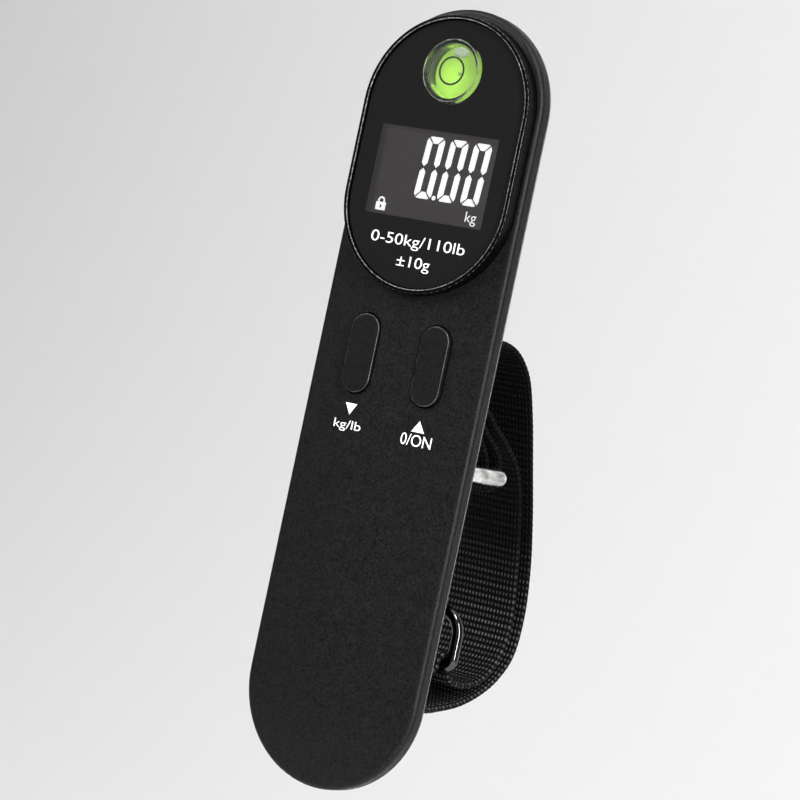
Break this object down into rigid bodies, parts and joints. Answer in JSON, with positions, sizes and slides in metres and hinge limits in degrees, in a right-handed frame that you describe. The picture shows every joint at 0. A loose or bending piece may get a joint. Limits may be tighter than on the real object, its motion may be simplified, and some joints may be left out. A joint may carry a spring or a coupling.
{
  "type": "digital luggage scale",
  "caption": "Slim handheld digital luggage scale: pill-shaped black body, raised display with a bubble level, two pill buttons, and a looped webbing strap with a steel ring and hook.",
  "frame": {"origin": "centre of the body at mid length, on the parting plane between the front and rear shells (mount hand_grip)", "axes": "+Z along the body towards the display end, -Y out of the display face, +X to the right of someone facing the display"},
  "size_m": [0.0384, 0.0549, 0.15],
  "materials": {
    "shell": "fine spark-eroded grain, matte",
    "rear_shell": "fine spark-eroded grain, matte",
    "screw_steel": "zinc plated",
    "bezel": "satin black",
    "lens": "polished smoked acrylic, printed black on its back",
    "lcd": "negative display, dark grey field",
    "backlight": "milky diffuser",
    "zebra": "layered elastomer",
    "vial_clear": "clear acrylic",
    "level_fluid": "yellow-green fluid",
    "level_disc": "yellow-green disc",
    "target_ink": "printed ring",
    "bubble_air": "air bubble",
    "vial_cup": "black moulded cup",
    "button_left": "smooth matte",
    "button_right": "smooth matte",
    "switch_left": "low-profile switch",
    "switch_right": "low-profile switch",
    "board": "green solder mask",
    "board_parts": "black chip packages",
    "beam": "machined",
    "beam_screws": "zinc plated",
    "gauges": "foil gauges under clear coat",
    "stirrup_steel": "milled steel",
    "stirrup_bolt": "zinc plated",
    "wire": "thin insulated wires",
    "ring_steel": "polished nickel plate",
    "webbing": "black woven webbing",
    "hook_steel": "polished steel",
    "cell": "nickel plated can",
    "contact": "sprung strip",
    "door": "fine grain, matte"
  },
  "bodies": {
    "body": {"front_shell": "shell", "rear_shell": "rear_shell", "case_screws": "screw_steel", "display_bezel": "bezel", "display_lens": "lens", "lcd_panel": "lcd", "lcd_backlight": "backlight", "lcd_zebra_strip": "zebra", "level_vial": "vial_clear", "level_liquid": "level_fluid", "level_base": "level_disc", "level_target_ring": "target_ink", "vial_retainer": "vial_cup", "unit_switch": "switch_left", "power_switch": "switch_right", "main_pcb": "board", "pcb_components": "board_parts", "load_cell": "beam", "load_cell_screws": "beam_screws", "strain_gauges": "gauges", "stirrup": "stirrup_steel", "stirrup_screw": "stirrup_bolt", "gauge_wires": "wire", "coin_cell": "cell", "battery_contact": "contact"},
    "bubble": {"level_bubble": "bubble_air"},
    "unit_button": {"unit_button_cap": "button_left"},
    "power_button": {"power_button_cap": "button_right"},
    "door": {"battery_door": "door"},
    "sling": {"shackle_ring": "ring_steel", "strap": "webbing"},
    "hook": {"hook": "hook_steel"}
  },
  "joints": [
    {"name": "bubble_float", "type": "slide", "parent": "body", "child": "bubble", "axis": [0, 0, -1], "range_m": [0, 0.006], "stiffness_N_per_m": 0.5},
    {"name": "unit_button_press", "type": "slide", "parent": "body", "child": "unit_button", "axis": [0, 1, 0], "range_m": [0, 0.0003], "stiffness_N_per_m": 1500},
    {"name": "power_button_press", "type": "slide", "parent": "body", "child": "power_button", "axis": [0, 1, 0], "range_m": [0, 0.0003], "stiffness_N_per_m": 1500},
    {"name": "battery_door_twist", "type": "hinge", "parent": "body", "child": "door", "pos_m": [0, 0.0115, 0.044], "axis": [0, 1, 0], "range_deg": [0, 60]},
    {"name": "shackle_rock", "type": "hinge", "parent": "body", "child": "sling", "pos_m": [0, 0.00725, -0.01105], "axis": [1, 0, 0], "range_deg": [-0.8, 1.5]},
    {"name": "hook_swing", "type": "hinge", "parent": "sling", "child": "hook", "pos_m": [0, 0.02, -0.0487], "axis": [1, 0, 0], "range_deg": [-20, 6]}
  ]
}
